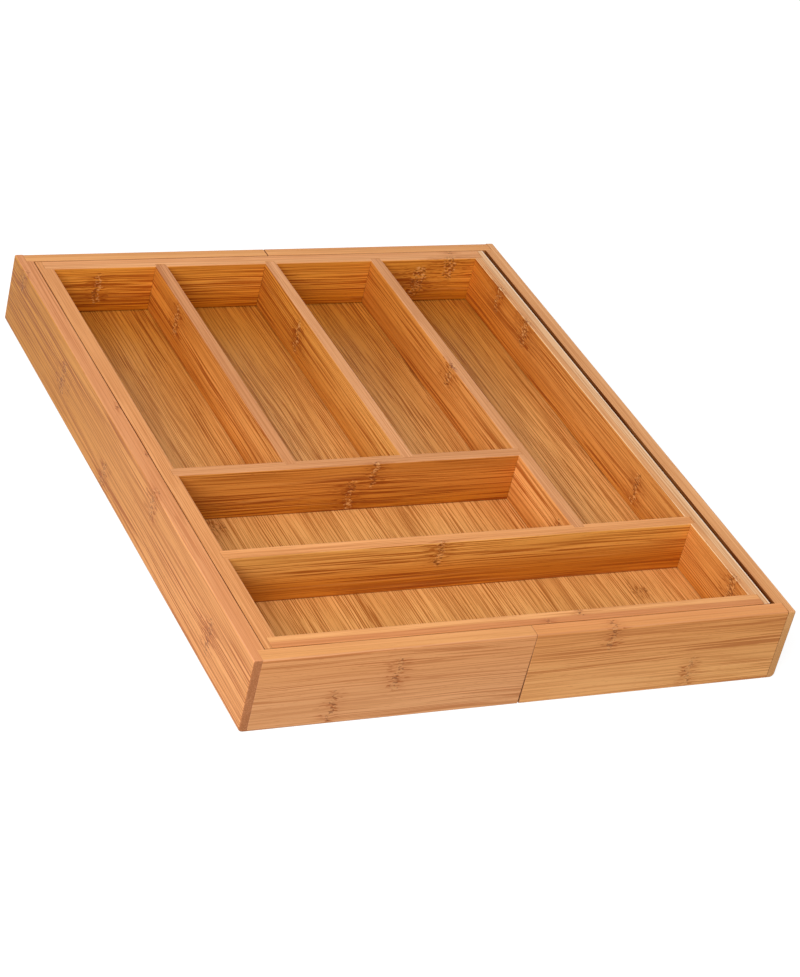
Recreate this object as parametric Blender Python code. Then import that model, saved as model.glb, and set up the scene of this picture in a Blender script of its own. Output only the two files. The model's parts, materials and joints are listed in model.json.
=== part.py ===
"""Expandable bamboo drawer organiser, drawn closed.

A fixed inner tray with six bays stands between two U-shaped wings. Each wing is a side wall,
two half rails and a floor, and it slides outwards on a runner glued along the tray.

Metres, +Z up. The origin lies on the drawer's floor under the middle of the closed organiser,
+X runs to the right and +Y to the back.
"""

import math

import bmesh
import bpy
from mathutils import Vector

# The closed organiser
CLOSED_WIDTH = 0.3560
DEPTH = 0.4372
HEIGHT = 0.0503

# Board and panel thicknesses
WING_SIDE_BOARD = 0.0100
WING_RAIL_BOARD = 0.0095
WING_FLOOR_PANEL = 0.0040
TRAY_BOARD = 0.0103
TRAY_FLOOR_PANEL = 0.0040
DIVIDER_BOARD = 0.0084

# Bays, measured between the boards' faces; the long bay and the back bays take what is left
BAY_WIDTH = 0.0713
FRONT_BAY_DEPTH = 0.0735
MIDDLE_BAY_DEPTH = 0.0756

# Floors: how far each one's underside lies above the lower edge of its own walls
WING_FLOOR_RISE = 0.0030
TRAY_FLOOR_RISE = 0.0052

# Joinery
PANEL_HOUSING = 0.0040  # how far a floor reaches into its groove
DIVIDER_HOUSING = 0.0030  # how far a divider's end reaches into its dado
WING_LIP = 0.0050  # what the corner rabbet leaves of a wing's side wall
TRAY_LIP = 0.0042  # what the corner rabbet leaves of a tray's side wall

# The slide
RUNNER_RISE = 0.0250  # from the drawer's floor to a runner's lower edge
RUNNER_HEIGHT = 0.0060
RUNNER_HOUSING = 0.0040  # how far a runner is sunk in the tray's wall
RUNNER_TONGUE = 0.0040  # how far a runner stands out of the tray's wall
TRAVEL = 0.1000  # how far each wing pulls out
STOP_WIDTH = 0.0100

# Clearances
GLUE_LINE = 0.0003
RAIL_GAP = 0.0004  # between a wing's rail and the tray's wall
TONGUE_GAP = 0.0004  # round a runner's tongue in its groove
FLOOR_GAP = 0.0003  # between a wing's floor and the tray's lower edge
SEAM_GAP = 0.0005  # between the two wings
LEFT_PLAY = 0.0005  # between the tray and the left wing's side wall
RIGHT_PLAY = 0.0029  # between the tray and the right wing's side wall
STOP_GAP = 0.0004  # left between a stop and the tray's wall at full travel
STOP_HEADROOM = 0.0006  # between a stop and the tray's floor
STOP_END_GAP = 0.0010  # between a stop's ends and the tray's walls
OVERCUT = 0.0020  # how far a cutter runs past an open end

# Rounded edges
ROUTED_ARRIS = 0.0030  # the frame's lower edges along its sides
EASED_ARRIS = 0.0018  # the frame's outer top edges
SANDED_ARRIS = 0.0008  # every other edge that a hand meets
ARRIS_STEPS = 5
SMOOTH_BELOW = math.radians(30)

# Colour (linear RGB) of each kind of board, and the lacquer's roughness
WING_TONE = (0.560, 0.290, 0.115)
TRAY_TONE = (0.540, 0.250, 0.090)
DIVIDER_TONE = (0.500, 0.225, 0.080)
FLOOR_TONE = (0.470, 0.235, 0.070)
RUNNER_TONE = (0.450, 0.220, 0.085)
LACQUER_ROUGHNESS = 0.42

# Faces that several pieces share
HALF_WIDTH = CLOSED_WIDTH / 2
HALF_DEPTH = DEPTH / 2
WING_INNER_Y = HALF_DEPTH - WING_RAIL_BOARD
TRAY_LEFT = -HALF_WIDTH + WING_SIDE_BOARD + LEFT_PLAY
TRAY_RIGHT = HALF_WIDTH - WING_SIDE_BOARD - RIGHT_PLAY
TRAY_OUTER_Y = WING_INNER_Y - RAIL_GAP
TRAY_INNER_Y = TRAY_OUTER_Y - TRAY_BOARD
BAYS_LEFT = TRAY_LEFT + TRAY_BOARD
BAYS_RIGHT = TRAY_RIGHT - TRAY_BOARD
WING_FLOOR_TOP = WING_FLOOR_RISE + WING_FLOOR_PANEL
TRAY_BOTTOM = WING_FLOOR_TOP + FLOOR_GAP
TRAY_FLOOR_UNDERSIDE = TRAY_BOTTOM + TRAY_FLOOR_RISE
TRAY_FLOOR_TOP = TRAY_FLOOR_UNDERSIDE + TRAY_FLOOR_PANEL

# Low and high corner of every board, as it is cut to length
CORNERS = {}


def carrier(name, place):
    """An empty that a body's boards hang on; a wing's empty lies on its slide's axis."""
    empty = bpy.data.objects.new(name, None)
    empty.empty_display_size = HEIGHT
    empty.location = place
    bpy.context.scene.collection.objects.link(empty)
    return empty


def bamboo(name, tone):
    """A lacquered bamboo material of one tone."""
    material = bpy.data.materials.new(f"{name}_bamboo")
    material.use_nodes = True
    shader = material.node_tree.nodes["Principled BSDF"]
    shader.inputs["Base Color"].default_value = (*tone, 1.0)
    shader.inputs["Roughness"].default_value = LACQUER_ROUGHNESS
    shader.inputs["Metallic"].default_value = 0.0
    return material


def block(name, low, high):
    """A box between two corners, with its origin in its middle and no scale left on it."""
    bm = bmesh.new()
    bmesh.ops.create_cube(bm, size=1.0)
    bmesh.ops.scale(bm, vec=high - low, verts=bm.verts)
    mesh = bpy.data.meshes.new(name)
    bm.to_mesh(mesh)
    bm.free()
    obj = bpy.data.objects.new(name, mesh)
    bpy.context.scene.collection.objects.link(obj)
    return obj


def round_arrises(obj, size, arrises):
    """Rounds the named edges of a box. An edge is named by the signs of its middle, so (-1, 0, 1)
    is the edge along Y at low X and high Z; each edge's share of the widest round is its weight."""
    widest = max(arrises.values())
    weights = obj.data.attributes.new("bevel_weight_edge", "FLOAT", "EDGE")
    for edge in obj.data.edges:
        ends = [obj.data.vertices[i].co for i in edge.vertices]
        middle = (ends[0] + ends[1]) / 2
        side = tuple(round(2 * middle[axis] / size[axis]) for axis in range(3))
        weights.data[edge.index].value = arrises.get(side, 0.0) / widest
    bevel = obj.modifiers.new("arrises", "BEVEL")
    bevel.limit_method = "WEIGHT"
    bevel.width = widest
    bevel.segments = ARRIS_STEPS
    obj.data.shade_smooth()
    obj.data.set_sharp_from_angle(angle=SMOOTH_BELOW)


def board(name, parent, xs, ys, zs, tone, arrises=None):
    """One board between pairs of X, Y and Z, given in either order."""
    low = Vector((min(xs), min(ys), min(zs)))
    high = Vector((max(xs), max(ys), max(zs)))
    obj = block(name, low, high)
    obj.parent = parent
    obj.location = (low + high) / 2 - parent.location
    obj.data.materials.append(bamboo(name, tone))
    if arrises:
        round_arrises(obj, high - low, arrises)
    CORNERS[name] = (low, high)
    return obj


def house(host, guest, clearance, along=None):
    """Cuts the room that a guest board and its clearance take out of its host. With along, the cut
    is a groove or rabbet that runs the host's whole length on that axis."""
    low = CORNERS[guest.name][0] - Vector((clearance,) * 3)
    high = CORNERS[guest.name][1] + Vector((clearance,) * 3)
    if along is not None:
        low[along] = CORNERS[host.name][0][along] - OVERCUT
        high[along] = CORNERS[host.name][1][along] + OVERCUT
    cutter = block(f"{host.name}.for_{guest.name}", low, high)
    cutter.parent = host
    cutter.location = (low + high) / 2 - sum(CORNERS[host.name], Vector()) / 2
    cutter.display_type = "WIRE"
    cutter.hide_render = True
    cut = host.modifiers.new(f"for_{guest.name}", "BOOLEAN")
    cut.operation = "DIFFERENCE"
    cut.solver = "EXACT"
    cut.object = cutter


def tray_walls(tray):
    """Two side walls that run the whole depth, and a front and a back wall lapped between them."""
    zs = (TRAY_BOTTOM, HEIGHT)
    both_tops = {(-1, 0, 1): SANDED_ARRIS, (1, 0, 1): SANDED_ARRIS}
    left_xs = (TRAY_LEFT, BAYS_LEFT)
    right_xs = (BAYS_RIGHT, TRAY_RIGHT)
    side_ys = (-TRAY_OUTER_Y, TRAY_OUTER_Y)
    left = board("tray_left_wall", tray, left_xs, side_ys, zs, TRAY_TONE, both_tops)
    right = board("tray_right_wall", tray, right_xs, side_ys, zs, TRAY_TONE, both_tops)
    both_tops = {(0, -1, 1): SANDED_ARRIS, (0, 1, 1): SANDED_ARRIS}
    end_xs = (TRAY_LEFT + TRAY_LIP + GLUE_LINE, TRAY_RIGHT - TRAY_LIP - GLUE_LINE)
    front_ys = (-TRAY_OUTER_Y, -TRAY_INNER_Y)
    back_ys = (TRAY_INNER_Y, TRAY_OUTER_Y)
    front = board("tray_front_wall", tray, end_xs, front_ys, zs, TRAY_TONE, both_tops)
    back = board("tray_back_wall", tray, end_xs, back_ys, zs, TRAY_TONE, both_tops)
    for side in (left, right):
        for end in (front, back):
            house(side, end, GLUE_LINE)
    return left, right, front, back


def tray_floor(tray, walls):
    """A thin panel held in a groove all round the tray."""
    xs = (BAYS_LEFT - PANEL_HOUSING, BAYS_RIGHT + PANEL_HOUSING)
    ys = (-TRAY_INNER_Y - PANEL_HOUSING, TRAY_INNER_Y + PANEL_HOUSING)
    zs = (TRAY_FLOOR_UNDERSIDE, TRAY_FLOOR_TOP)
    floor = board("tray_floor", tray, xs, ys, zs, FLOOR_TONE)
    left, right, front, back = walls
    for side in (left, right):
        house(side, floor, GLUE_LINE)
    for end in (front, back):
        house(end, floor, GLUE_LINE, along=0)


def dividers(tray, walls):
    """Two cross dividers and three dividers from the back wall, each end housed in a dado."""
    left, right, _, back = walls
    zs = (TRAY_FLOOR_TOP + GLUE_LINE, HEIGHT)
    cross_tops = {(0, -1, 1): SANDED_ARRIS, (0, 1, 1): SANDED_ARRIS}
    back_tops = {(-1, 0, 1): SANDED_ARRIS, (1, 0, 1): SANDED_ARRIS}
    front_cross_y = -TRAY_INNER_Y + FRONT_BAY_DEPTH
    middle_cross_y = front_cross_y + DIVIDER_BOARD + MIDDLE_BAY_DEPTH
    column_xs = []
    for column in range(3):
        column_x = BAYS_LEFT + BAY_WIDTH + column * (BAY_WIDTH + DIVIDER_BOARD)
        column_xs.append((column_x, column_x + DIVIDER_BOARD))

    xs = (BAYS_LEFT - DIVIDER_HOUSING, BAYS_RIGHT + DIVIDER_HOUSING)
    ys = (front_cross_y, front_cross_y + DIVIDER_BOARD)
    front_cross = board("front_cross_divider", tray, xs, ys, zs, DIVIDER_TONE, cross_tops)
    xs = (BAYS_LEFT - DIVIDER_HOUSING, column_xs[2][0] + DIVIDER_HOUSING)
    ys = (middle_cross_y, middle_cross_y + DIVIDER_BOARD)
    middle_cross = board("middle_cross_divider", tray, xs, ys, zs, DIVIDER_TONE, cross_tops)

    starts = (middle_cross_y, middle_cross_y, front_cross_y)
    names = ("left_divider", "middle_divider", "long_divider")
    columns = []
    for name, xs, start in zip(names, column_xs, starts):
        ys = (start + DIVIDER_BOARD - DIVIDER_HOUSING, TRAY_INNER_Y + DIVIDER_HOUSING)
        columns.append(board(name, tray, xs, ys, zs, DIVIDER_TONE, back_tops))
        house(back, columns[-1], GLUE_LINE)

    for cross in (front_cross, middle_cross):
        house(left, cross, GLUE_LINE)
    house(right, front_cross, GLUE_LINE)
    house(front_cross, columns[2], GLUE_LINE)
    house(columns[2], middle_cross, GLUE_LINE)
    for column in columns[:2]:
        house(middle_cross, column, GLUE_LINE)


def runners(tray, walls):
    """A strip sunk in the outside of the tray's front and back walls, which the rails slide on."""
    low_end, high_end = CORNERS["tray_front_wall"]
    made = {}
    for name, wall, out in (("front_runner", walls[2], -1), ("back_runner", walls[3], 1)):
        ys = (out * (TRAY_OUTER_Y - RUNNER_HOUSING), out * (TRAY_OUTER_Y + RUNNER_TONGUE))
        zs = (RUNNER_RISE, RUNNER_RISE + RUNNER_HEIGHT)
        eased = {(0, out, 1): SANDED_ARRIS, (0, out, -1): SANDED_ARRIS}
        strip = board(name, tray, (low_end.x, high_end.x), ys, zs, RUNNER_TONE, eased)
        house(wall, strip, GLUE_LINE, along=0)
        made[out] = strip
    return made


def wing(hand, side, tray_face, strips):
    """A U of one side wall and two half rails, with its floor and the stop that ends its travel.
    side is -1 on the left and 1 on the right, tray_face the inside of the tray's wall there."""
    axis_height = RUNNER_RISE + RUNNER_HEIGHT / 2
    parent = carrier(f"{hand}_wing", Vector((side * HALF_WIDTH / 2, 0.0, axis_height)))
    zs = (0.0, HEIGHT)
    inner_x = HALF_WIDTH - WING_SIDE_BOARD
    seam_x = SEAM_GAP / 2

    rounded = {(side, 0, 1): EASED_ARRIS, (side, 0, -1): ROUTED_ARRIS, (-side, 0, 1): SANDED_ARRIS}
    for end in (-1, 1):
        rounded[(0, end, 1)] = EASED_ARRIS
        rounded[(side, end, 0)] = SANDED_ARRIS
        rounded[(0, end, -1)] = SANDED_ARRIS
    xs = (side * HALF_WIDTH, side * inner_x)
    ys = (-HALF_DEPTH, HALF_DEPTH)
    side_wall = board(f"{hand}_wing_side_wall", parent, xs, ys, zs, WING_TONE, rounded)

    xs = (side * (inner_x + PANEL_HOUSING), side * seam_x)
    ys = (-WING_INNER_Y - PANEL_HOUSING, WING_INNER_Y + PANEL_HOUSING)
    floor_zs = (WING_FLOOR_RISE, WING_FLOOR_TOP)
    floor = board(f"{hand}_wing_floor", parent, xs, ys, floor_zs, FLOOR_TONE)
    house(side_wall, floor, GLUE_LINE)

    xs = (side * (HALF_WIDTH - WING_LIP - GLUE_LINE), side * seam_x)
    for place, end in (("front", -1), ("back", 1)):
        rounded = {(0, end, 1): EASED_ARRIS}
        rounded[(0, end, -1)] = SANDED_ARRIS
        rounded[(0, -end, 1)] = SANDED_ARRIS
        ys = (end * HALF_DEPTH, end * WING_INNER_Y)
        rail = board(f"{hand}_wing_{place}_rail", parent, xs, ys, zs, WING_TONE, rounded)
        house(side_wall, rail, GLUE_LINE)
        house(rail, floor, GLUE_LINE, along=0)
        house(rail, strips[end], TONGUE_GAP, along=0)

    stop_x = tray_face - side * (TRAVEL + STOP_GAP)
    xs = (stop_x, stop_x - side * STOP_WIDTH)
    ys = (-TRAY_INNER_Y + STOP_END_GAP, TRAY_INNER_Y - STOP_END_GAP)
    stop_zs = (WING_FLOOR_TOP + GLUE_LINE, TRAY_FLOOR_UNDERSIDE - STOP_HEADROOM)
    board(f"{hand}_wing_stop", parent, xs, ys, stop_zs, RUNNER_TONE)


def main():
    for obj in list(bpy.data.objects):
        bpy.data.objects.remove(obj, do_unlink=True)
    tray = carrier("tray", Vector((0.0, 0.0, 0.0)))
    walls = tray_walls(tray)
    tray_floor(tray, walls)
    dividers(tray, walls)
    strips = runners(tray, walls)
    wing("left", -1, BAYS_LEFT, strips)
    wing("right", 1, BAYS_RIGHT, strips)


main()
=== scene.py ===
import json
import math

import bpy
import numpy as np
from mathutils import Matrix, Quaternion, Vector


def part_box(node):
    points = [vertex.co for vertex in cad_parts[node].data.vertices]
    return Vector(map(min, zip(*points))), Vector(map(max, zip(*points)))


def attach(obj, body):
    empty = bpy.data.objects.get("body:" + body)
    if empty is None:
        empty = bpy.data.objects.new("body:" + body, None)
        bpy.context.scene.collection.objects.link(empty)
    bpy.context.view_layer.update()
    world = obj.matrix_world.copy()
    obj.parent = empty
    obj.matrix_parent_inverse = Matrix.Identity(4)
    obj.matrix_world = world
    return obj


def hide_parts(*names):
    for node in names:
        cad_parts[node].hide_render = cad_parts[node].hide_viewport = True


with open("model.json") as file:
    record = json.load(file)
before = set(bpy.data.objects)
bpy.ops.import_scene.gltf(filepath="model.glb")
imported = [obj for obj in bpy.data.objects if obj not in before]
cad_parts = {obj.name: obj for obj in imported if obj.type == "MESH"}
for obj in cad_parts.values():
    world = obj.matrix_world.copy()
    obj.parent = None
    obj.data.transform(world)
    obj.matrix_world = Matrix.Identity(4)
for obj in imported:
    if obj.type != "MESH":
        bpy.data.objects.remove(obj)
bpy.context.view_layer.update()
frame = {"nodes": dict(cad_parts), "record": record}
print("frame loaded with", len(frame["nodes"]), "boards")

mm = 0.001  # lengths below are in metres unless a name ends in Mm
xAxis, yAxis, zAxis = range(3)


def boxOf(node):
    low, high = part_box(node)
    return np.array(low), np.array(high)


def grown(node, gap):
    low, high = boxOf(node)
    return low - gap, high + gap


# A board is a rectangle with four rounded corners, carried along its length. Near an end, at depth
# t, a side with the end round r steps in by r - sqrt(r^2 - (r - t)^2), which rounds that end too.
shape = {
    "arcSteps": 8,  # steps round each corner of the section
    "endSteps": 8,  # rings round each end
    "shoulder": 0.0004,  # narrow flat beside every round
    "smoothBelow": 38.0,  # degrees
    "jointGap": 0.0002,
    "easedDepth": 0.0010,  # the height at a housing's top that is drawn in
    "overrun": 0.0020,  # how far a through cut passes its board's ends
    "panelRound": 0.0003,
    "housedRound": 0.0001,  # ends that sit in a housing
}


def endInset(radius, depth):
    reach = np.clip(radius - depth, 0.0, radius)
    return radius - np.sqrt(radius**2 - reach**2)


def endStations(radius):
    turn = np.linspace(0.0, math.pi / 2, shape["endSteps"] + 1)
    return np.append(radius * (1.0 - np.cos(turn)), radius + shape["shoulder"])


def ringPoints(left, right, bottom, top, rounds):
    # each corner is its arc between two shoulder points that keep the flats flat when shaded
    corners = ((left, bottom, -1, -1), (right, bottom, 1, -1), (right, top, 1, 1), (left, top, -1, 1))
    points = []
    for quarter, (a, b, sideA, sideB) in enumerate(corners):
        radius = rounds[(sideA, sideB)]
        start = math.pi + quarter * math.pi / 2
        turn = np.linspace(start, start + math.pi / 2, shape["arcSteps"] + 1)
        arcA = (a - sideA * radius)[:, None] + radius * np.cos(turn)
        arcB = (b - sideB * radius)[:, None] + radius * np.sin(turn)
        runA = shape["shoulder"] * -np.sin(turn[[0, -1]])
        runB = shape["shoulder"] * np.cos(turn[[0, -1]])
        arcA = np.column_stack([arcA[:, 0] - runA[0], arcA, arcA[:, -1] + runA[1]])
        arcB = np.column_stack([arcB[:, 0] - runB[0], arcB, arcB[:, -1] + runB[1]])
        points.append(np.stack([arcA, arcB], axis=2))
    return np.concatenate(points, axis=1)


def carriedMesh(name, low, high, along, rounds, ends, lean):
    across = yAxis - along
    length = high[along] - low[along]
    nearStart = endStations(max(ends[-1].values()))
    nearFinish = endStations(max(ends[1].values()))
    places = np.concatenate([nearStart, (length - nearFinish)[::-1]])
    inset = {
        side: endInset(ends[-1][side], places) + endInset(ends[1][side], length - places)
        for side in ("left", "right", "bottom", "top")
    }
    rings = ringPoints(
        low[across] + inset["left"],
        high[across] - inset["right"],
        low[zAxis] + inset["bottom"],
        high[zAxis] - inset["top"],
        rounds,
    )
    stations, around = rings.shape[:2]
    points = np.empty((stations, around, 3))
    points[:, :, along] = (low[along] + places)[:, None]
    points[:, :, across] = rings[:, :, 0]
    points[:, :, zAxis] = rings[:, :, 1]
    rise = (points[:, :, zAxis] - low[zAxis]) / (high[zAxis] - low[zAxis])
    for end, (footShift, topShift) in lean.items():  # an end cut a little off square
        near = slice(0, len(nearStart)) if end < 0 else slice(len(nearStart), None)
        points[near, :, along] += footShift + (topShift - footShift) * rise[near]
    index = np.arange(stations * around).reshape(stations, around)
    following = np.roll(index, -1, axis=1)
    quads = np.stack([index[:-1], following[:-1], following[1:], index[1:]], axis=2).reshape(-1, 4)
    faces = quads.tolist() + [index[0, ::-1].tolist(), index[-1].tolist()]
    if along == yAxis:  # X x Z points along -Y, so the rings turn the other way there
        faces = [face[::-1] for face in faces]
    mesh = bpy.data.meshes.new(name)
    mesh.from_pydata(points.reshape(-1, 3), [], faces)
    mesh.validate()
    return mesh


def plainBlock(low, high):
    corner = np.array([[x, y, z] for x in (0, 1) for y in (0, 1) for z in (0, 1)], float)
    faces = [(0, 1, 3, 2), (4, 6, 7, 5), (0, 4, 5, 1), (2, 3, 7, 6), (0, 2, 6, 4), (1, 5, 7, 3)]
    mesh = bpy.data.meshes.new("cutter")
    mesh.from_pydata(low + corner * (high - low), [], faces)
    return mesh


def cutBoard(board, cuts):
    # every cut is a plain block taken out by an exact boolean, and the result becomes the mesh
    cutters = []
    for low, high in cuts:
        cutter = bpy.data.objects.new("cutter", plainBlock(np.array(low), np.array(high)))
        bpy.context.scene.collection.objects.link(cutter)
        cut = board.modifiers.new("cut", "BOOLEAN")
        cut.operation = "DIFFERENCE"
        cut.solver = "EXACT"
        cut.object = cutter
        cutters.append(cutter)
    graph = bpy.context.evaluated_depsgraph_get()
    finished = bpy.data.meshes.new_from_object(board.evaluated_get(graph))
    board.modifiers.clear()
    board.data = finished
    for cutter in cutters:
        bpy.data.objects.remove(cutter, do_unlink=True)


def makeBoard(node, along, rounds, ends, cuts=(), dropBottom=0.0, lean=None):
    low, high = boxOf(node)
    low[zAxis] -= dropBottom
    mesh = carriedMesh(node, low, high, along, rounds, ends, lean or {})
    board = bpy.data.objects.new(f"{node}_board", mesh)
    bpy.context.scene.collection.objects.link(board)
    if cuts:
        cutBoard(board, cuts)
    board.data.name = f"{node}_board"
    board.data.shade_smooth()
    board.data.set_sharp_from_angle(angle=math.radians(shape["smoothBelow"]))
    return board


def allRounds(radius):
    return {(a, b): radius for a in (-1, 1) for b in (-1, 1)}


def evenEnds(radius):
    return {end: dict(left=radius, right=radius, bottom=radius, top=radius) for end in (-1, 1)}


def housing(guest, eased, gap=shape["jointGap"]):
    # the room for a guest's end: its whole section, but drawn in at the top where the guest's edges
    # are rounded, so that the joint closes there
    low, high = grown(guest, gap)
    topLow, topHigh = low.copy(), high.copy()
    high[zAxis] -= shape["easedDepth"]
    topLow[zAxis] = high[zAxis] - gap
    for (axis, side), radius in eased.items():
        if side < 0:
            topLow[axis] += radius + gap
        else:
            topHigh[axis] -= radius + gap
    return [(low, high), (topLow, topHigh)]


def dividerHousings(names, along, edge):
    cuts = []
    for name in names:
        cuts += housing(name, {(along, -1): edge, (along, 1): edge})
    return cuts


def longCut(host, guest, gap, along):
    # the room of the guest, run right through the host along one axis
    low, high = grown(guest, gap)
    hostLow, hostHigh = boxOf(host)
    low[along] = hostLow[along] - shape["overrun"]
    high[along] = hostHigh[along] + shape["overrun"]
    return low, high


# Shader helpers: an input is either a value or another node's socket
def addNode(tree, kind, inputs=None, **settings):
    made = tree.nodes.new(kind)
    for key, value in settings.items():
        setattr(made, key, value)
    for key, value in (inputs or {}).items():
        if isinstance(value, bpy.types.NodeSocket):
            tree.links.new(value, made.inputs[key])
        else:
            made.inputs[key].default_value = value
    return made


def calc(tree, operation, *values, clamp=False):
    inputs = dict(enumerate(values))
    return addNode(tree, "ShaderNodeMath", inputs, operation=operation, use_clamp=clamp).outputs[0]


def vectorCalc(tree, operation, first, second):
    inputs = {0: first, "Scale" if operation == "SCALE" else 1: second}
    return addNode(tree, "ShaderNodeVectorMath", inputs, operation=operation).outputs[0]


def ramp(tree, value, low, high, start=0.0, stop=1.0):
    inputs = {0: value, 1: low, 2: high, 3: start, 4: stop}
    return addNode(tree, "ShaderNodeMapRange", inputs, interpolation_type="SMOOTHSTEP").outputs[0]


def mixColour(tree, share, first, second, mode="MIX"):
    inputs = {0: share, 6: first, 7: second}
    return addNode(tree, "ShaderNodeMix", inputs, data_type="RGBA", blend_type=mode).outputs[2]


def noiseAt(tree, vector, stretch, detail=2.0, roughness=0.5, distortion=0.0):
    placed = vectorCalc(tree, "MULTIPLY", vector, stretch)
    inputs = {"Vector": placed, "Scale": 1.0, "Detail": detail, "Roughness": roughness}
    inputs["Distortion"] = distortion
    return addNode(tree, "ShaderNodeTexNoise", inputs).outputs[0]


def colour(values):
    return (*values, 1.0)


# Bamboo as strips pressed into boards: u runs along the fibres, v across a strip, w through the
# board, all in millimetres from the board's low corner. Every pattern is a solid one in u, v, w, so
# it carries round the edges and shows as cut fibre ends where a face lies square to u. The first
# triples are repeats per millimetre along u, v and w.
bamboo = {
    "hair": (0.012, 1.20, 1.20),
    "streak": (0.0080, 0.55, 0.55),
    "band": (0.0030, 0.07, 0.07),
    "calm": (0.0060, 0.09, 0.09),
    "dash": (0.13, 1.0, 1.0),
    "wander": (0.011, 0.06, 0.06),
    "ragged": (0.05, 0.30, 0.30),
    "speck": (0.40, 0.95, 0.95),
    "pore": (0.034, 1.7, 1.7),
    "plyShift": 0.43,  # of a strip, from one ply to the next
    "plyBlurMm": 0.15,
    "highlightRimBlurMm": 0.5,
    "coreHalfMm": 2.5,
    "haloHalfMm": 12.0,
    "coreFlatMm": 0.3,
    "raggedMm": 9.0,  # how far a knuckle's outline strays
    "bendMm": 5.0,  # how far the fibres bend round a knuckle
    "dashFrom": 0.64,
    "haloDashDrop": -0.10,  # more dashes show in a knuckle's halo
    "haloDashes": 0.9,  # and they are darker there
    "footShadeLine": 0.9,
    "poreShare": 0.5,
    "liftPowers": (0.7, 1.0, 1.5),  # red, green and blue: a paler fibre is also less orange
    "seedSteps": (731.0, 57.0, 91.0),  # how far apart two boards lie in the patterns, in mm
    "roughness": 0.42,
    "hairRoughness": 0.16,
    "endRoughness": 0.15,
    "ior": 1.30,
    "coat": 0.03,
    "coatRoughness": 0.28,
    "relief": 0.00014,
    "reliefStrength": 0.55,
    "heights": {"hair": -0.5, "streak": -0.2, "pit": -0.9, "tick": 0.5, "seam": -0.25},
}

# Where each mask starts and where it is full, in the measure of what it is made from
fade = {
    "endFace": (0.55, 0.90),
    "edgeFace": (0.45, 0.90),
    "gapShadeFace": (0.45, 0.90),
    "arris": (0.99, 0.82),
    "seamMm": (0.32, 0.05),
    "plySeamMm": (0.35, 0.05),
    "footShadeMm": (0.9, 0.3),
    "knuckleStrips": (0.62, 0.30),  # of a strip's width
    "knucklePlies": (0.75, 0.50),  # of a ply's
    "core": (0.1, 0.5),
    "pit": (0.54, 0.60),
    "tick": (0.45, 0.38),
    "calm": (0.36, 0.64),
    "hairDark": (0.53, 0.57),
    "hairPale": (0.46, 0.42),
    "streakDark": (0.55, 0.66),
    "streakPale": (0.44, 0.32),
    "dash": (0.0, 0.06),
    "band": (0.32, 0.68),
    "pore": (0.50, 0.18),
}


def boardAxes(tree, low, along, thick, gapSide):
    wide = xAxis + yAxis + zAxis - along - thick
    texture = addNode(tree, "ShaderNodeTexCoord")
    fromCorner = vectorCalc(tree, "SUBTRACT", texture.outputs["Object"], tuple(low))
    split = addNode(tree, "ShaderNodeSeparateXYZ", {0: vectorCalc(tree, "SCALE", fromCorner, 1.0 / mm)})
    facing = addNode(tree, "ShaderNodeSeparateXYZ", {0: texture.outputs["Normal"]}).outputs
    alongShare, wideShare, thickShare = (calc(tree, "ABSOLUTE", facing[i]) for i in (along, wide, thick))
    flatness = calc(tree, "MAXIMUM", calc(tree, "MAXIMUM", alongShare, wideShare), thickShare)
    return {
        "u": split.outputs[along],
        "v": split.outputs[wide],
        "w": split.outputs[thick],
        "endFace": ramp(tree, alongShare, *fade["endFace"]),
        "edgeFace": ramp(tree, wideShare, *fade["edgeFace"]),
        "gapShadeFace": ramp(tree, calc(tree, "MULTIPLY", facing[thick], gapSide), *fade["gapShadeFace"]),
        "arris": ramp(tree, flatness, *fade["arris"]),
    }


def joined(tree, u, v, w):
    return addNode(tree, "ShaderNodeCombineXYZ", {0: u, 1: v, 2: w}).outputs[0]


def distanceMm(tree, place, target):
    return calc(tree, "ABSOLUTE", calc(tree, "SUBTRACT", place, target))


def strongest(tree, *shares):
    # the greatest of several masks, each times its strength
    products = [calc(tree, "MULTIPLY", mask, strength) for mask, strength in shares]
    most = products[0]
    for product in products[1:]:
        most = calc(tree, "MAXIMUM", most, product)
    return most


def stripPattern(tree, at, look, seed):
    # each strip's own tone, and a fine dark line where two strips meet
    ply = calc(tree, "FLOOR", calc(tree, "DIVIDE", at["w"], look["plyMm"]))
    shift = calc(tree, "MULTIPLY", ply, bamboo["plyShift"])
    place = calc(tree, "ADD", calc(tree, "DIVIDE", at["v"], look["stripMm"]), shift)
    key = joined(tree, calc(tree, "FLOOR", place), ply, float(seed))
    tone = addNode(tree, "ShaderNodeTexWhiteNoise", {"Vector": key}, noise_dimensions="3D")
    fromEdgeMm = calc(tree, "MULTIPLY", calc(tree, "PINGPONG", place, 0.5), look["stripMm"])
    return tone.outputs[0], ramp(tree, fromEdgeMm, *fade["seamMm"])


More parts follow.
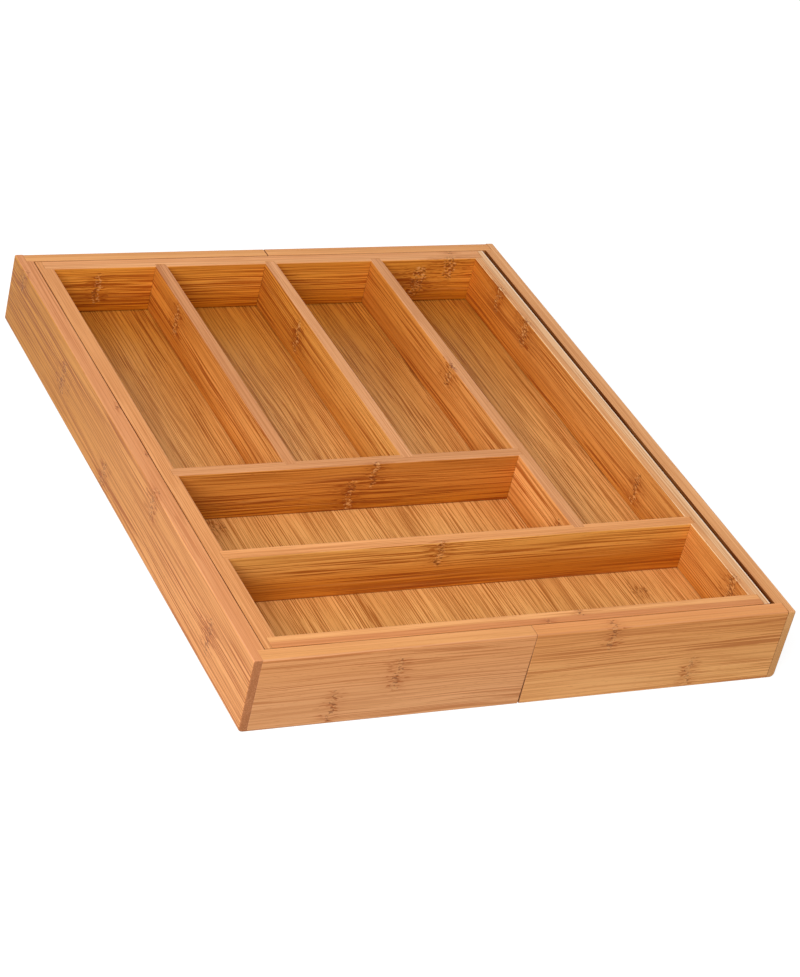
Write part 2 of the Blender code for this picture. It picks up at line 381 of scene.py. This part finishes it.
def knucklePattern(tree, at, seeded, look, knuckles):
    # a knuckle crosses one strip of one ply: a ragged core of pits and pale ticks in a darker halo
    core, halo = 0.0, 0.0
    acrossMm = [look["stripMm"] * share for share in fade["knuckleStrips"]]
    deepMm = [look["plyMm"] * share for share in fade["knucklePlies"]]
    ragged = calc(tree, "SUBTRACT", noiseAt(tree, seeded, bamboo["ragged"]), 0.5)
    for atU, atV, atW, spread in knuckles:
        offU = calc(tree, "SUBTRACT", at["u"], atU)
        offU = calc(tree, "ABSOLUTE", calc(tree, "MULTIPLY_ADD", ragged, bamboo["raggedMm"], offU))
        inStrip = calc(
            tree, "MULTIPLY",
            ramp(tree, distanceMm(tree, at["v"], atV), *acrossMm),
            ramp(tree, distanceMm(tree, at["w"], atW), *deepMm),
        )
        near = ramp(tree, offU, bamboo["coreHalfMm"] * spread, bamboo["coreFlatMm"])
        far = ramp(tree, offU, bamboo["haloHalfMm"] * spread, 0.0)
        core = calc(tree, "MAXIMUM", core, calc(tree, "MULTIPLY", inStrip, near))
        halo = calc(tree, "MAXIMUM", halo, calc(tree, "MULTIPLY", inStrip, far))
    speck = noiseAt(tree, seeded, bamboo["speck"], detail=1.5, distortion=0.6)
    core = ramp(tree, core, *fade["core"])
    return {
        "halo": halo,
        "pit": calc(tree, "MULTIPLY", ramp(tree, speck, *fade["pit"]), core),
        "tick": calc(tree, "MULTIPLY", ramp(tree, speck, *fade["tick"]), core),
        "bend": calc(tree, "MULTIPLY", halo, ragged),
    }


def grainPattern(tree, at, seeded, look, knuckle, offset):
    # fibres that wander a little and bend round the knuckles, in fine hairs, broader streaks and bands
    wander = noiseAt(tree, seeded, bamboo["wander"], detail=1.0)
    v = calc(tree, "MULTIPLY_ADD", calc(tree, "SUBTRACT", wander, 0.5), look["wanderMm"], at["v"])
    v = calc(tree, "MULTIPLY_ADD", knuckle["bend"], bamboo["bendMm"], v)
    grain = vectorCalc(tree, "ADD", joined(tree, at["u"], v, at["w"]), offset)
    hairStretch = tuple(np.array(bamboo["hair"]) * look["fineness"])
    hair = noiseAt(tree, grain, hairStretch, detail=1.0)
    streak = noiseAt(tree, grain, bamboo["streak"], detail=2.0, roughness=0.55)
    dash = noiseAt(tree, grain, bamboo["dash"], detail=1.0)
    dashFrom = calc(tree, "MULTIPLY_ADD", knuckle["halo"], bamboo["haloDashDrop"], bamboo["dashFrom"])
    calm = noiseAt(tree, grain, bamboo["calm"], detail=1.0)
    calm = ramp(tree, calm, *fade["calm"], look["calmest"], 1.0)
    return {
        "grain": grain,
        "hair": hair,
        "band": noiseAt(tree, grain, bamboo["band"]),
        "hairDark": calc(tree, "MULTIPLY", ramp(tree, hair, *fade["hairDark"]), calm),
        "hairPale": calc(tree, "MULTIPLY", ramp(tree, hair, *fade["hairPale"]), calm),
        "streakDark": ramp(tree, streak, *fade["streakDark"]),
        "streakPale": ramp(tree, streak, *fade["streakPale"]),
        "dash": ramp(tree, calc(tree, "SUBTRACT", dash, dashFrom), *fade["dash"]),
    }


def boardTone(tree, at, look, lengthMm):
    # the broad face's tone and its slow changes, or that of the plies seen along an edge. Its darkening
    # towards the gap and towards the high end is painted shade, as is the darker foot of the tray's walls
    # and the dividers
    plyMm, highlightRimMm, blurMm = look["plyMm"], look["highlightRimMm"], bamboo["plyBlurMm"]
    plyShare = ramp(tree, at["w"], plyMm - blurMm, plyMm + blurMm)
    edgeTone = mixColour(tree, plyShare, colour(look["lowPly"]), colour(look["highPly"]))
    # a painted highlight: a pale line along the outer part of the top edge
    highlightRimShare = ramp(tree, at["w"], highlightRimMm, highlightRimMm + bamboo["highlightRimBlurMm"])
    edgeTone = mixColour(tree, highlightRimShare, edgeTone, colour(look["highlightRim"]))
    # up the face: on the tray's walls and the dividers, painted shade low down and painted light high up
    rise = ramp(tree, at["v"], look["risesFromMm"], look["risesToMm"])
    tone = mixColour(tree, rise, colour(look["face"]), colour(look.get("faceTop", look["face"])))
    # painted shade: the sides turned to the gap between tray and wing take a darker tone
    tone = mixColour(tree, at["gapShadeFace"], tone, colour(look["gapShadeFace"]))
    # painted shade that deepens towards the board's high end
    farShadeShare = ramp(tree, at["u"], look["farShadeFrom"] * lengthMm, lengthMm)
    tone = mixColour(tree, farShadeShare, tone, colour(look["farEndShade"]), "MULTIPLY")
    return mixColour(tree, at["edgeFace"], tone, edgeTone)


def fibreLift(tree, look, fibres, stripTone, lineCalm):
    # the strips, bands and pale hairs together, as a colour that the tone is multiplied by
    stripSpread, bandSpread = look["stripSpread"], look["bandSpread"]
    stripLift = ramp(tree, stripTone, 0.0, 1.0, 1.0 - stripSpread, 1.0 + stripSpread)
    bandLift = ramp(tree, fibres["band"], *fade["band"], 1.0 - bandSpread, 1.0 + bandSpread)
    paleHairs = calc(tree, "MULTIPLY", fibres["hairPale"], lineCalm)
    paleShare = calc(tree, "MULTIPLY", paleHairs, look["hairPale"])
    lift = calc(tree, "MULTIPLY", stripLift, calc(tree, "ADD", bandLift, paleShare))
    return joined(tree, *(calc(tree, "POWER", lift, power) for power in bamboo["liftPowers"]))


def lineMask(tree, at, look, fibres, knuckle, seam, lineCalm):
    # dark hairs, streaks, dashes, seams and a painted contact shade along the floor, of which the strongest
    # shows
    dashShare = calc(tree, "MULTIPLY_ADD", knuckle["halo"], bamboo["haloDashes"], look["dashes"])
    fibreLines = strongest(
        tree,
        (fibres["hairDark"], look["hairs"]),
        (fibres["streakDark"], look["streaks"]),
        (fibres["dash"], dashShare),
    )
    # painted shade: a dark line where the board meets the floor
    footShade = ramp(tree, distanceMm(tree, at["v"], look["footShadeMm"]), *fade["footShadeMm"])
    footShadeShare = ramp(tree, at["gapShadeFace"], 0.0, 1.0, bamboo["footShadeLine"], 0.0)
    plySeam = ramp(tree, distanceMm(tree, at["w"], look["plyMm"]), *fade["plySeamMm"])
    plySeam = calc(tree, "MULTIPLY", plySeam, at["edgeFace"])
    return strongest(
        tree,
        (fibreLines, lineCalm),
        (footShade, footShadeShare),
        (seam, look["seams"]),
        (plySeam, look["plySeams"]),
    )


def cutEndTone(tree, look, fibres, lift):
    # fibre bundles as dark dots in a browner ground
    place = vectorCalc(tree, "MULTIPLY", fibres["grain"], bamboo["pore"])
    pores = addNode(tree, "ShaderNodeTexVoronoi", {"Vector": place, "Scale": 1.0})
    dots = ramp(tree, pores.outputs["Distance"], *fade["pore"])
    dots = calc(tree, "MULTIPLY", dots, bamboo["poreShare"])
    tone = mixColour(tree, dots, colour(look["end"]), colour(look["endDots"]))
    return mixColour(tree, 1.0, tone, lift, "MULTIPLY")


def bambooRelief(tree, fibres, knuckle, seam):
    heights = bamboo["heights"]
    masks = {"hair": fibres["hair"], "pit": knuckle["pit"], "tick": knuckle["tick"], "seam": seam}
    height = calc(tree, "MULTIPLY", fibres["streakDark"], heights["streak"])
    for kind, mask in masks.items():
        height = calc(tree, "MULTIPLY_ADD", mask, heights[kind], height)
    inputs = {"Height": height, "Strength": bamboo["reliefStrength"], "Distance": bamboo["relief"]}
    return addNode(tree, "ShaderNodeBump", inputs).outputs[0]


def bambooMaterial(name, low, high, along, thick, look, knuckles, seed):
    material = bpy.data.materials.new(f"{name}_bamboo")
    material.use_nodes = True
    tree = material.node_tree
    tree.nodes.clear()
    at = boardAxes(tree, low, along, thick, look["gapSide"])
    offset = tuple(seed * step for step in bamboo["seedSteps"])
    seeded = vectorCalc(tree, "ADD", joined(tree, at["u"], at["v"], at["w"]), offset)
    stripTone, seam = stripPattern(tree, at, look, seed)
    knuckle = knucklePattern(tree, at, seeded, look, knuckles)
    fibres = grainPattern(tree, at, seeded, look, knuckle, offset)
    lineCalm = ramp(tree, at["edgeFace"], 0.0, 1.0, 1.0, look["edgeLines"])
    lift = fibreLift(tree, look, fibres, stripTone, lineCalm)
    lines = lineMask(tree, at, look, fibres, knuckle, seam, lineCalm)

    tone = boardTone(tree, at, look, float(high[along] - low[along]) / mm)
    tone = mixColour(tree, 1.0, tone, lift, "MULTIPLY")
    layers = (
        (fibres["streakPale"], look["paleLines"], look["pale"], "MIX"),
        (lines, 1.0, look["dark"], "MULTIPLY"),
        (knuckle["halo"], look["halo"], look["dark"], "MULTIPLY"),
        (knuckle["tick"], look["ticks"], look["tick"], "MIX"),
        (knuckle["pit"], look["pits"], look["pit"], "MIX"),
        # the rounded edges: paler from wear and with painted light; on the tray's right wall a painted
        # highlight
        (at["arris"], look["wearAndLight"], look["wornAndLit"], "MULTIPLY"),
    )
    for mask, strength, layerTone, mode in layers:
        tone = mixColour(tree, calc(tree, "MULTIPLY", mask, strength), tone, colour(layerTone), mode)
    tone = mixColour(tree, at["endFace"], tone, cutEndTone(tree, look, fibres, lift))

    rough = calc(tree, "MULTIPLY_ADD", fibres["hair"], bamboo["hairRoughness"], bamboo["roughness"])
    rough = calc(tree, "MULTIPLY_ADD", at["endFace"], bamboo["endRoughness"], rough, clamp=True)
    shader = addNode(tree, "ShaderNodeBsdfPrincipled", {
        "Base Color": tone,
        "Roughness": rough,
        "IOR": bamboo["ior"],
        "Normal": bambooRelief(tree, fibres, knuckle, seam),
        "Coat Weight": bamboo["coat"],
        "Coat Roughness": bamboo["coatRoughness"],
    })
    output = addNode(tree, "ShaderNodeOutputMaterial")
    tree.links.new(shader.outputs[0], output.inputs[0])
    return material


# Tones are linear. Those that a piece doesn't name itself are these.
# Each piece's tones were fitted to how bright it looks where it stands, so their differences are partly its
# own colour and partly painted light and shade.
baseLook = {
    "face": (0.69, 0.27, 0.065),  # the broad side; faceTop, where given, is its tone high up. On the tray's walls and the dividers the face is painted darker low down and lighter high up, as painted shade and light
    "lowPly": (0.75, 0.315, 0.085),  # the layers seen along an edge, from low X or low Y
    "highPly": (0.72, 0.295, 0.080),
    "dark": (0.62, 0.42, 0.28),
    "pale": (0.85, 0.46, 0.18),
    "pit": (0.17, 0.045, 0.010),
    "tick": (0.90, 0.50, 0.19),
    "wornAndLit": (0.93, 0.98, 1.25),  # what the rounded edges are multiplied by: a paler tone, partly wear and partly painted light that tempers how the lamp catches them
    "end": (0.44, 0.18, 0.065),
    "endDots": (0.27, 0.09, 0.03),
    "gapShadeFace": (0.38, 0.140, 0.034),  # painted shade on the side turned to the gap between tray and wing, so that the gap reads dark
    "gapSide": 0.0,  # which way that side looks, -1 or 1, or 0 for none
    "farEndShade": (1.0, 1.0, 1.0),  # painted shade: what the high end is multiplied by
    "farShadeFrom": 0.0,
    "footShadeMm": -5.0,  # height of the painted contact shade, a dark line along the floor, under the board for none
    # the tone of a painted highlight along the top edge
    "highlightRim": (1.0, 0.70, 0.46),
    "highlightRimMm": 99.0,  # where a painted highlight along the top edge starts, past the board for none
    "risesFromMm": 4.0,
    "risesToMm": 46.0,
    "stripMm": 24.0,
    "plyMm": 5.0,
    "wanderMm": 3.0,
    "stripSpread": 0.06,
    "bandSpread": 0.045,
    "calmest": 0.45,
    "fineness": 1.0,
    "hairs": 0.95,
    "hairPale": 0.26,
    "edgeLines": 0.45,
    "streaks": 0.12,
    "dashes": 0.30,
    "paleLines": 0.10,
    "seams": 0.35,
    "plySeams": 0.45,
    "halo": 0.22,
    "ticks": 0.30,
    "pits": 0.55,
    "wearAndLight": 1.0,
}

# The boards of the tray and its dividers are darker in their fibres and stronger in their knuckles
innerLook = {
    "hairs": 1.0, "hairPale": 0.30, "streaks": 0.14, "dark": (0.57, 0.37, 0.21),
    "halo": 0.28, "ticks": 0.55, "pits": 0.70, "tick": (0.92, 0.50, 0.18),
}


def finishBoard(board, node, along, thick, look, knuckles, seed):
    low, high = boxOf(node)
    fullLook = {**baseLook, **look}
    order = [along, xAxis + yAxis + zAxis - along - thick, thick]  # from X, Y, Z to u, v, w
    marks = [(*(np.array(mark[:3]) - low / mm)[order], mark[3]) for mark in knuckles]
    board.data.materials.clear()
    board.data.materials.append(bambooMaterial(node, low, high, along, thick, fullLook, marks, seed))
    body = next(name for name, nodes in frame["record"]["behaviour"]["bodies"].items() if node in nodes)
    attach(board, body)
    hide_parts(node)


# The wings. Knuckles are places in mm, each with its spread along the grain. seamLean moves the
# rails' ends at the foot and at the top, back where it is negative: the front seam opens towards its
# foot, and the back one is open all the way.
wing = {
    "topRound": 0.0018,
    "sideTopRound": 0.0010,
    "footRound": 0.0030,
    "sanded": 0.0008,
    "facing": 0.00035,
    "seamRound": 0.00025,
    "stopRound": 0.0005,
    "jointGap": 0.00003,  # the side walls' joints are hardly seen
    "runnerGap": 0.0004,
    "seamLean": {"front": (-0.00025, 0.00018), "back": (-0.00015, -0.00015)},
    "sides": {
        # the darker tone on each side wall's face turned to the tray is painted shade for the gap
        "left": {
            "face": (0.79, 0.330, 0.102), "lowPly": (0.71, 0.285, 0.105), "highPly": (0.72, 0.290, 0.105),
            "farEndShade": (0.73, 0.66, 0.20), "end": (0.49, 0.18, 0.065), "gapShadeFace": (0.24, 0.075, 0.015),
        },
        "right": {
            "face": (0.73, 0.310, 0.085), "lowPly": (0.76, 0.345, 0.125), "highPly": (0.77, 0.360, 0.135),
            "end": (0.72, 0.350, 0.125), "endDots": (0.58, 0.26, 0.085), "gapShadeFace": (0.24, 0.075, 0.015),
        },
    },
    "rails": {
        # the darker tone on each rail's face turned to the tray is painted shade for the gap
        "left": {
            "face": (0.82, 0.390, 0.165), "faceTop": (0.76, 0.322, 0.112), "gapShadeFace": (0.44, 0.165, 0.042),
            "lowPly": (0.84, 0.390, 0.132), "highPly": (0.82, 0.370, 0.122), "hairs": 0.62, "streaks": 0.05,
            "hairPale": 0.17, "bandSpread": 0.03,
        },
        "right": {
            "face": (0.82, 0.390, 0.135), "faceTop": (0.74, 0.300, 0.086), "gapShadeFace": (0.44, 0.165, 0.042),
            "lowPly": (0.82, 0.370, 0.124), "highPly": (0.80, 0.350, 0.115), "hairs": 0.72, "streaks": 0.07,
            "hairPale": 0.20,
        },
    },
    "frontTones": {
        "left": {"lowPly": (0.79, 0.358, 0.120), "highPly": (0.77, 0.338, 0.112)},
        "right": {
            "lowPly": (0.80, 0.335, 0.108), "highPly": (0.78, 0.315, 0.100),
            "face": (0.84, 0.395, 0.133), "farEndShade": (1.0, 1.0, 0.92), "farShadeFrom": 0.3,
        },
    },
    "knuckles": {
        "left_wing_side_wall": [
            (-178, 196, 46, 1.3), (-178, 106, 26, 2.0), (-178, 20, 9, 1.5), (-178, -56, 43, 1.5),
            (-178, -160, 23, 1.8), (-168.5, 34, 50, 1.0), (-167.5, -18, 50, 0.8),
        ],
        "right_wing_side_wall": [],
        "left_wing_front_rail": [(-123, -219, 12, 1.0), (-86, -219, 31, 1.2)],
        "left_wing_back_rail": [],
        "right_wing_front_rail": [(52, -219, 46, 1.2), (113, -219, 11, 1.0), (53, -214, 50, 0.8)],
        "right_wing_back_rail": [],
    },
    "floor": {"stripMm": 18.0, "plyMm": 2.0, "face": (0.66, 0.28, 0.075)},
    "stop": {"stripMm": 12.0},
    "seeds": {"side": 3, "rail": 7, "floor": 12, "stop": 15},
}
railPlaces = (("front", -1), ("back", 1))
hands = (("left", -1), ("right", 1))


def wingSideWall(hand, side):
    node = f"{hand}_wing_side_wall"
    sanded, facing, topRound = wing["sanded"], wing["facing"], wing["sideTopRound"]
    rounds = {**allRounds(facing), (side, 1): topRound, (side, -1): wing["footRound"]}
    outer, inner = ("right", "left") if side > 0 else ("left", "right")
    endRounds = {outer: sanded, inner: shape["housedRound"], "bottom": sanded, "top": topRound}
    cuts = [grown(f"{hand}_wing_floor", shape["jointGap"])]
    for place, end in railPlaces:
        cuts += housing(f"{hand}_wing_{place}_rail", {(yAxis, -end): facing}, wing["jointGap"])
    board = makeBoard(node, yAxis, rounds, {-1: endRounds, 1: endRounds}, cuts)
    look = {**wing["sides"][hand], "gapSide": -side}
    finishBoard(board, node, yAxis, xAxis, look, wing["knuckles"][node], wing["seeds"]["side"] + side)


def wingRail(hand, side, place, end):
    node = f"{hand}_wing_{place}_rail"
    rounds = {**allRounds(wing["facing"]), (end, 1): wing["topRound"], (end, -1): wing["sanded"]}
    cuts = [
        longCut(node, f"{hand}_wing_floor", shape["jointGap"], xAxis),
        longCut(node, f"{place}_runner", wing["runnerGap"], xAxis),
    ]
    footShift, topShift = wing["seamLean"][place]
    lean = {-side: (-side * footShift, -side * topShift)}
    board = makeBoard(node, xAxis, rounds, evenEnds(wing["seamRound"]), cuts, lean=lean)
    frontTones = wing["frontTones"][hand] if place == "front" else {}
    look = {**wing["rails"][hand], **frontTones, "gapSide": -end}
    seed = wing["seeds"]["rail"] + side + 2 * end
    finishBoard(board, node, xAxis, yAxis, look, wing["knuckles"][node], seed)


def wingFlatPart(hand, side, part, edge):
    node = f"{hand}_wing_{part}"
    board = makeBoard(node, yAxis, allRounds(edge), evenEnds(edge))
    finishBoard(board, node, yAxis, zAxis, wing[part], [], wing["seeds"][part] + side)


for hand, side in hands:
    wingSideWall(hand, side)
    for place, end in railPlaces:
        wingRail(hand, side, place, end)
    wingFlatPart(hand, side, "floor", shape["panelRound"])
    wingFlatPart(hand, side, "stop", wing["stopRound"])
print("wings made")

# The tray: four lapped walls with dadoes, a grooved-in floor and the two runners. Inside, the walls
# are painted darker towards the floor, as painted shade.
tray = {
    "sanded": 0.0007,
    "facing": 0.0005,
    "runnerRound": 0.0006,
    "grooveGap": 0.0005,
    # the face is painted darker towards the floor, as painted shade
    "wall": {
        "face": (0.46, 0.140, 0.008), "faceTop": (0.64, 0.240, 0.036), "risesFromMm": 7.0, "risesToMm": 32.0,
        "footShadeMm": 9.2, "wearAndLight": 0.4, **innerLook,
    },
    "tones": {
        "left": {"lowPly": (0.73, 0.305, 0.100), "highPly": (0.74, 0.310, 0.102)},
        "right": {
            # a painted highlight runs along this wall's outer top edge
            "lowPly": (0.76, 0.355, 0.137), "highPly": (0.84, 0.475, 0.235), "plyMm": 4.5, "highlightRimMm": 9.0,
            # a painted highlight on this wall's rounded edges
            "wornAndLit": (1.20, 1.75, 2.90),
            "face": (0.52, 0.178, 0.024), "faceTop": (0.68, 0.275, 0.063), "wearAndLight": 1.0,
            "farEndShade": (0.92, 0.72, 0.34), "farShadeFrom": 0.55,
        },
        "front": {"lowPly": (0.655, 0.245, 0.078), "highPly": (0.86, 0.395, 0.140)},
        "back": {
            "lowPly": (0.80, 0.365, 0.140), "highPly": (0.79, 0.345, 0.128),
            "face": (0.49, 0.147, 0.004), "faceTop": (0.68, 0.253, 0.029),
        },
    },
    "floor": {
        "face": (0.73, 0.340, 0.098), "stripMm": 13.0, "plyMm": 2.0, "stripSpread": 0.09, "seams": 0.60,
        "streaks": 0.05, "calmest": 0.65, "halo": 0.35, "tick": (0.85, 0.42, 0.11),
        "fineness": 1.5, "bandSpread": 0.03, "dark": (0.54, 0.36, 0.20),
        "farEndShade": (0.72, 0.58, 0.24), "farShadeFrom": 0.45,
    },
    "runner": {"face": (0.64, 0.29, 0.08), "stripMm": 12.0},
    "knuckles": {
        "tray_back_wall": [
            (-125, 198.4, 34, 1.4), (113, 198.4, 33, 3.0), (136, 198.4, 46, 2.5), (139, 207.8, 50, 1.0),
        ],
        "tray_left_wall": [],
        "tray_right_wall": [
            (154.8, 157, 44, 1.5), (154.8, 114, 42, 2.2), (154.8, -59, 31, 1.5), (154.8, -181, 44, 2.0),
        ],
        "tray_front_wall": [(36.6, -201, 50, 0.8), (12.6, -207.6, 50, 0.8)],
        "tray_floor": [(118, -144, 16.5, 1.5), (-130, -50, 16.5, 1.5)],
    },
    "housed": {
        "tray_left_wall": ("front_cross_divider", "middle_cross_divider"),
        "tray_right_wall": ("front_cross_divider",),
        "tray_front_wall": (),
        "tray_back_wall": ("left_divider", "middle_divider", "long_divider"),
    },
    "seeds": {"side": 20, "end": 23, "runner": 26, "floor": 29},
}


def trayWallLook(place, gapSide):
    return {**tray["wall"], **tray["tones"][place], "gapSide": gapSide}


def grooved(low, high):
    # a groove a little higher than the floor's edge, which leaves a dark line above the floor
    high[zAxis] += tray["grooveGap"]
    return low, high


def trayRounds(outward):
    # crisp where the wings pass, softer at the top towards the bays
    return {**allRounds(tray["facing"]), (-outward, 1): tray["sanded"]}


def traySideWall(hand, side):
    node = f"tray_{hand}_wall"
    sanded = tray["sanded"]
    cuts = [grooved(*grown("tray_floor", shape["jointGap"]))]
    for place, end in railPlaces:
        cuts += housing(f"tray_{place}_wall", {(yAxis, -end): sanded})
    cuts += dividerHousings(tray["housed"][node], yAxis, sanded)
    board = makeBoard(node, yAxis, trayRounds(side), evenEnds(tray["facing"]), cuts)
    look = trayWallLook(hand, side)
    finishBoard(board, node, yAxis, xAxis, look, tray["knuckles"][node], tray["seeds"]["side"] + side)


def trayEndWall(place, end):
    node = f"tray_{place}_wall"
    gap = shape["jointGap"]
    cuts = [
        grooved(*longCut(node, "tray_floor", gap, xAxis)),
        longCut(node, f"{place}_runner", gap, xAxis),
    ]
    cuts += dividerHousings(tray["housed"][node], xAxis, tray["sanded"])
    board = makeBoard(node, xAxis, trayRounds(end), evenEnds(shape["housedRound"]), cuts)
    look = trayWallLook(place, end)
    finishBoard(board, node, xAxis, yAxis, look, tray["knuckles"][node], tray["seeds"]["end"] + end)


def slideRunner(place, end):
    node, edge = f"{place}_runner", tray["runnerRound"]
    board = makeBoard(node, xAxis, allRounds(edge), evenEnds(edge))
    finishBoard(board, node, xAxis, yAxis, tray["runner"], [], tray["seeds"]["runner"] + end)


def trayFloor():
    node, edge = "tray_floor", shape["panelRound"]
    board = makeBoard(node, yAxis, allRounds(edge), evenEnds(edge))
    finishBoard(board, node, yAxis, zAxis, tray["floor"], tray["knuckles"][node], tray["seeds"]["floor"])


for hand, side in hands:
    traySideWall(hand, side)
for place, end in railPlaces:
    trayEndWall(place, end)
    slideRunner(place, end)
trayFloor()
print("tray made")

# The dividers stand on the floor with their ends housed
divider = {
    "deep": ("left_divider", "middle_divider", "long_divider"),
    "cross": ("middle_cross_divider", "front_cross_divider"),
    "sanded": 0.0007,
    "footRound": 0.0006,
    "drop": 0.0002,  # closes the gap to the floor
    # the face is painted darker at the foot and lighter at the top, as painted shade and light
    "look": {
        "risesFromMm": 0.0, "risesToMm": 22.0, "footShadeMm": 0.0, "plyMm": 4.2,
        "lowPly": (0.72, 0.315, 0.122), "highPly": (0.73, 0.322, 0.124), **innerLook,
    },
    "tones": {
        "left_divider": {
            "face": (0.58, 0.215, 0.036), "faceTop": (0.79, 0.343, 0.092), "farEndShade": (0.82, 0.67, 0.33),
            "lowPly": (0.68, 0.283, 0.104), "highPly": (0.69, 0.288, 0.106),
        },
        "middle_divider": {
            "face": (0.56, 0.215, 0.035), "faceTop": (0.75, 0.338, 0.080), "farEndShade": (0.82, 0.67, 0.33),
        },
        "long_divider": {
            "face": (0.58, 0.223, 0.045), "faceTop": (0.78, 0.348, 0.100), "farEndShade": (0.78, 0.61, 0.28),
        },
        "middle_cross_divider": {
            "face": (0.455, 0.143, 0.009), "faceTop": (0.59, 0.210, 0.032),
            "farEndShade": (0.96, 0.93, 0.88), "farShadeFrom": 0.4,
        },
        "front_cross_divider": {
            "face": (0.52, 0.165, 0.014), "faceTop": (0.80, 0.380, 0.090),
            "risesFromMm": 8.0, "risesToMm": 32.0, "farEndShade": (0.95, 0.90, 0.70),
            "lowPly": (0.80, 0.338, 0.112), "highPly": (0.81, 0.345, 0.114),
        },
    },
    "housed": {
        "left_divider": (),
        "middle_divider": (),
        "long_divider": ("middle_cross_divider",),
        "middle_cross_divider": ("left_divider", "middle_divider"),
        "front_cross_divider": ("long_divider",),
    },
    "knuckles": {
        "left_divider": [(-85.9, 152, 37, 2.0)],
        "middle_divider": [(-6.2, 132, 34, 1.5)],
        "long_divider": [(73.5, 64, 46, 2.0), (73.5, -104, 33, 1.2)],
        "middle_cross_divider": [(-26, -40.9, 44, 1.2), (-40, -40.9, 27, 1.5)],
        "front_cross_divider": [(-19, -124.9, 45, 1.5)],
    },
    "seeds": {"deep": 31, "cross": 35},
}


def makeDivider(node, along, seed):
    sanded = divider["sanded"]
    rounds = {**allRounds(divider["footRound"]), (-1, 1): sanded, (1, 1): sanded}
    cuts = dividerHousings(divider["housed"][node], along, sanded)
    board = makeBoard(node, along, rounds, evenEnds(shape["housedRound"]), cuts, divider["drop"])
    look = {**divider["look"], **divider["tones"][node]}
    finishBoard(board, node, along, yAxis - along, look, divider["knuckles"][node], seed)


for seed, node in enumerate(divider["deep"], start=divider["seeds"]["deep"]):
    makeDivider(node, yAxis, seed)
for seed, node in enumerate(divider["cross"], start=divider["seeds"]["cross"]):
    makeDivider(node, xAxis, seed)
print("dividers made")

# A pale floor that the camera sees as white, with the object's soft shadow left on it
stage = {"size": 14.0, "colour": (0.30, 0.30, 0.30), "seenWhite": 0.85}
white = colour((1.0, 1.0, 1.0))


def seenRays(tree):
    # 1 for the camera's rays and for those that shiny and clear surfaces pass on, otherwise 0
    path = addNode(tree, "ShaderNodeLightPath").outputs
    seen = calc(tree, "MAXIMUM", path["Is Camera Ray"], path["Is Glossy Ray"])
    return calc(tree, "MAXIMUM", seen, path["Is Transmission Ray"])


def makeStudioFloor():
    half = stage["size"] / 2
    mesh = bpy.data.meshes.new("studioFloor")
    corners = [(-half, -half, 0.0), (half, -half, 0.0), (half, half, 0.0), (-half, half, 0.0)]
    mesh.from_pydata(corners, [], [(0, 1, 2, 3)])
    floor = bpy.data.objects.new("studioFloor", mesh)
    bpy.context.scene.collection.objects.link(floor)
    material = bpy.data.materials.new("studioPaper")
    material.use_nodes = True
    tree = material.node_tree
    tree.nodes.clear()
    paper = addNode(tree, "ShaderNodeBsdfDiffuse", {"Color": colour(stage["colour"])})
    glow = addNode(tree, "ShaderNodeEmission", {"Color": white, "Strength": stage["seenWhite"]})
    both = addNode(tree, "ShaderNodeAddShader")
    tree.links.new(paper.outputs[0], both.inputs[0])
    tree.links.new(glow.outputs[0], both.inputs[1])
    pick = addNode(tree, "ShaderNodeMixShader", {0: seenRays(tree)})
    tree.links.new(paper.outputs[0], pick.inputs[1])
    tree.links.new(both.outputs[0], pick.inputs[2])
    output = addNode(tree, "ShaderNodeOutputMaterial")
    tree.links.new(pick.outputs[0], output.inputs[0])
    mesh.materials.append(material)


# Soft light from the upper left, and an even white room
light = {
    "place": (-1.46, -1.12, 1.42),
    "target": (0.0, 0.0, 0.0),
    "size": 1.5,
    "power": 49.0,
    "colour": (1.0, 0.985, 0.96),
    "room": 0.43,
    "roomSeen": 1.0,
}


def turnedTo(place, target):
    return (Vector(target) - Vector(place)).to_track_quat("-Z", "Y")


def makeLight():
    lamp = bpy.data.lights.new("softbox", "AREA")
    lamp.shape = "SQUARE"
    lamp.size = light["size"]
    lamp.energy = light["power"]
    lamp.color = light["colour"]
    softbox = bpy.data.objects.new("softbox", lamp)
    softbox.location = light["place"]
    softbox.rotation_mode = "QUATERNION"
    softbox.rotation_quaternion = turnedTo(light["place"], light["target"])
    bpy.context.scene.collection.objects.link(softbox)
    world = bpy.data.worlds.new("studio")
    world.use_nodes = True
    tree = world.node_tree
    tree.nodes.clear()
    strength = ramp(tree, seenRays(tree), 0.0, 1.0, light["room"], light["roomSeen"])
    air = addNode(tree, "ShaderNodeBackground", {"Color": white, "Strength": strength})
    output = addNode(tree, "ShaderNodeOutputWorld")
    tree.links.new(air.outputs[0], output.inputs[0])
    bpy.context.scene.world = world


# The photograph's viewpoint: above the front left corner, with the camera tipped to one side
view = {
    "place": (-0.8083, -1.3474, 0.9904),
    "target": (-0.0221, -0.0679, 0.0503),
    "tipDegrees": 14.335,
    "lens": 107.3,
    "sensor": 36.0,
    "reach": 50.0,  # the farthest that it shows
}


def makeCamera():
    data = bpy.data.cameras.new("camera")
    data.lens = view["lens"]
    data.sensor_width = view["sensor"]
    data.clip_end = view["reach"]
    camera = bpy.data.objects.new("camera", data)
    camera.location = view["place"]
    camera.rotation_mode = "QUATERNION"
    tip = Quaternion((0.0, 0.0, 1.0), math.radians(view["tipDegrees"]))
    camera.rotation_quaternion = turnedTo(view["place"], view["target"]) @ tip
    bpy.context.scene.collection.objects.link(camera)
    bpy.context.scene.camera = camera


makeStudioFloor()
makeLight()
makeCamera()
bpy.context.scene.view_settings.view_transform = "Standard"
print("stage, light and camera made")
